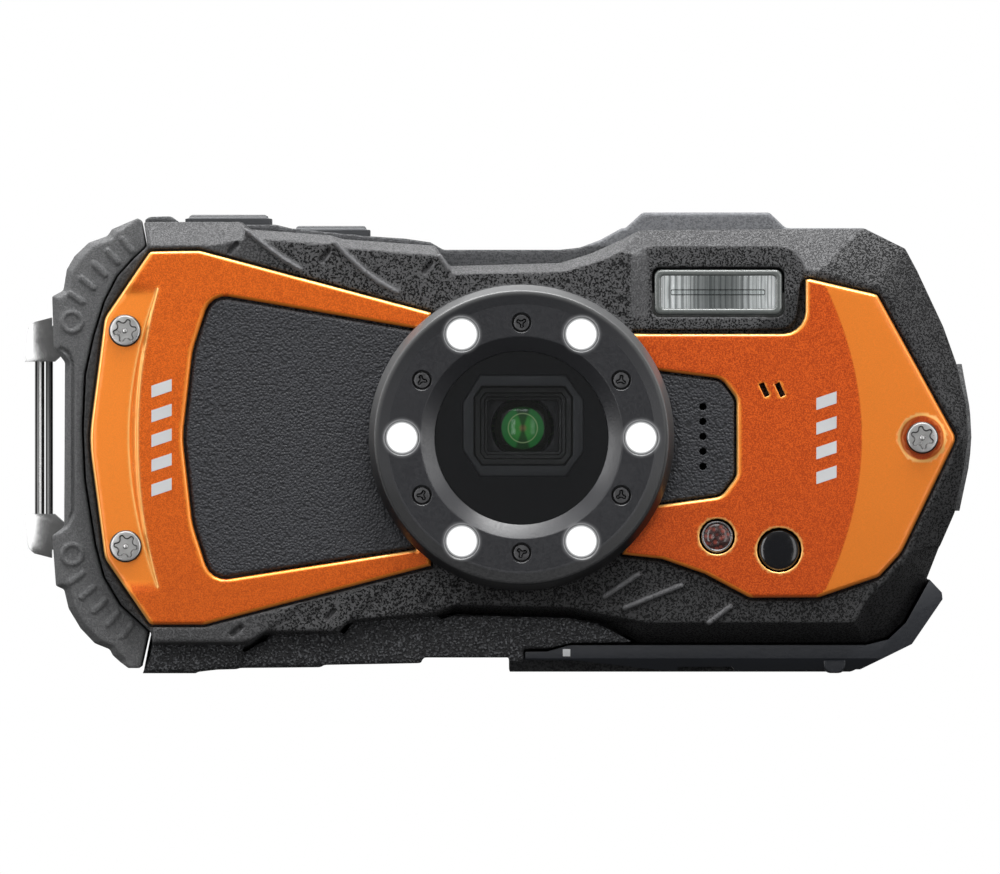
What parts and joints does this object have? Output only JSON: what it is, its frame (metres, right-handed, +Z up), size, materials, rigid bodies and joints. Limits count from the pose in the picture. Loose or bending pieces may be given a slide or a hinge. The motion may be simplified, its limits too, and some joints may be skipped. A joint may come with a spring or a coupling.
{
  "type": "rugged compact camera",
  "caption": "Landscape waterproof compact camera: grained black shells, orange front plates, a lens ring with macro lights, flash, strap bracket, rear screen and buttons, battery door.",
  "frame": {"origin": "centre of the body's footprint, on the surface it stands on", "axes": "+X along the body towards the flash side, +Y to the back with the screen, +Z up; the lens looks along -Y"},
  "size_m": [0.1268, 0.0296, 0.0617],
  "materials": {
    "shell_black": "grained matt",
    "guard_black": "fine matt",
    "orange_paint": "metallic satin",
    "grip_black": "leather-grained matt",
    "ring_black": "fine satin",
    "door_black": "smooth satin",
    "button_black": "satin",
    "button_red": "satin",
    "polished_steel": "polished",
    "screw_steel": "bright",
    "dark_screw": "blackened",
    "dark_glass": "clear over black",
    "clear_plastic": "clear",
    "lens_glass": "green coated",
    "lamp_white": "lit white",
    "reflector": "bright",
    "circuit_green": "satin",
    "inner_black": "matt",
    "seal_rubber": "matt",
    "cell_label": "satin film",
    "sheet_metal": "satin"
  },
  "bodies": {
    "root": {"front_shell": "shell_black", "rear_shell": "shell_black", "shell_seal": "seal_rubber", "left_guard": "guard_black", "right_bumper": "guard_black", "strap_loop": "polished_steel", "front_plate_left": "orange_paint", "front_plate_right": "orange_paint", "grip_inlay": "grip_black", "speaker_panel": "grip_black", "plate_screw_1": "screw_steel", "plate_screw_2": "screw_steel", "plate_screw_3": "screw_steel", "self_timer_lens": "clear_plastic", "receiver_window": "dark_glass", "ring_cover": "ring_black", "light_guide_ring": "lamp_white", "led_board": "circuit_green", "ring_screw_1": "dark_screw", "ring_screw_2": "dark_screw", "ring_screw_3": "dark_screw", "ring_screw_4": "dark_screw", "ring_screw_5": "dark_screw", "ring_screw_6": "dark_screw", "lens_window": "dark_glass", "lens_mask": "inner_black", "front_lens": "lens_glass", "prism": "clear_plastic", "lens_housing": "inner_black", "image_sensor_board": "circuit_green", "flash_window": "clear_plastic", "flash_reflector": "reflector", "flash_capacitor": "cell_label", "speaker": "inner_black", "main_board": "circuit_green", "chassis": "sheet_metal", "lcd_module": "inner_black", "lcd_window": "dark_glass", "battery_bay": "inner_black", "battery": "cell_label", "memory_card": "inner_black", "door_hinge_pin": "polished_steel", "tripod_socket": "polished_steel"},
    "shutter_button": {"shutter_button": "button_black"},
    "power_button": {"power_button": "button_black"},
    "zoom_tele_button": {"zoom_tele_button": "button_black"},
    "zoom_wide_button": {"zoom_wide_button": "button_black"},
    "movie_button": {"movie_button": "button_red"},
    "playback_button": {"playback_button": "button_black"},
    "menu_button": {"menu_button": "button_black"},
    "shortcut_button": {"shortcut_button": "button_black"},
    "ok_button": {"ok_button": "button_black"},
    "pad_gimbal": {"pad_gimbal": "sheet_metal"},
    "direction_pad": {"direction_pad": "button_black"},
    "battery_door": {"battery_door": "door_black", "door_seal": "seal_rubber"},
    "lock_lever": {"door_lock_lever": "door_black"},
    "battery_latch": {"battery_latch": "button_black"},
    "zoom_group": {"zoom_group": "inner_black"},
    "focus_group": {"focus_group": "inner_black"}
  },
  "joints": [
    {"name": "shutter_press", "type": "slide", "parent": "root", "child": "shutter_button", "axis": [0, 0, -1], "range_m": [0, 0.0012], "stiffness_N_per_m": 500, "springref_m": -0.0003},
    {"name": "power_press", "type": "slide", "parent": "root", "child": "power_button", "axis": [0, 0, -1], "range_m": [0, 0.0006], "stiffness_N_per_m": 600, "springref_m": -0.0002},
    {"name": "zoom_tele_press", "type": "slide", "parent": "root", "child": "zoom_tele_button", "axis": [0, -1, 0], "range_m": [0, 0.0005], "stiffness_N_per_m": 600, "springref_m": -0.0002},
    {"name": "zoom_wide_press", "type": "slide", "parent": "root", "child": "zoom_wide_button", "axis": [0, -1, 0], "range_m": [0, 0.0005], "stiffness_N_per_m": 600, "springref_m": -0.0002},
    {"name": "movie_press", "type": "slide", "parent": "root", "child": "movie_button", "axis": [0, -1, 0], "range_m": [0, 0.0005], "stiffness_N_per_m": 600, "springref_m": -0.0002},
    {"name": "playback_press", "type": "slide", "parent": "root", "child": "playback_button", "axis": [0, -1, 0], "range_m": [0, 0.0005], "stiffness_N_per_m": 600, "springref_m": -0.0002},
    {"name": "menu_press", "type": "slide", "parent": "root", "child": "menu_button", "axis": [0, -1, 0], "range_m": [0, 0.0005], "stiffness_N_per_m": 600, "springref_m": -0.0002},
    {"name": "shortcut_press", "type": "slide", "parent": "root", "child": "shortcut_button", "axis": [0, -1, 0], "range_m": [0, 0.0005], "stiffness_N_per_m": 600, "springref_m": -0.0002},
    {"name": "ok_press", "type": "slide", "parent": "root", "child": "ok_button", "axis": [0, -1, 0], "range_m": [0, 0.0005], "stiffness_N_per_m": 600, "springref_m": -0.0002},
    {"name": "pad_up_down", "type": "hinge", "parent": "root", "child": "pad_gimbal", "pos_m": [-0.0325, 0.0124, 0.028], "axis": [1, 0, 0], "range_deg": [-3, 3], "stiffness_Nm_per_rad": 0.2},
    {"name": "pad_left_right", "type": "hinge", "parent": "pad_gimbal", "child": "direction_pad", "pos_m": [-0.0325, 0.0124, 0.028], "axis": [0, 0, 1], "range_deg": [-3, 3], "stiffness_Nm_per_rad": 0.2},
    {"name": "door_hinge", "type": "hinge", "parent": "root", "child": "battery_door", "pos_m": [0.0023, 0, 0.00235], "axis": [0, 1, 0], "range_deg": [0, 95]},
    {"name": "lock_slide", "type": "slide", "parent": "battery_door", "child": "lock_lever", "axis": [1, 0, 0], "range_m": [0, 0.003]},
    {"name": "latch_slide", "type": "slide", "parent": "root", "child": "battery_latch", "axis": [1, 0, 0], "range_m": [0, 0.0011], "stiffness_N_per_m": 300, "springref_m": -0.0002},
    {"name": "zoom_slide", "type": "slide", "parent": "root", "child": "zoom_group", "axis": [0, 0, 1], "range_m": [-0.0032, 0.0009]},
    {"name": "focus_slide", "type": "slide", "parent": "root", "child": "focus_group", "axis": [0, 0, 1], "range_m": [-0.0006, 0.0013]}
  ]
}
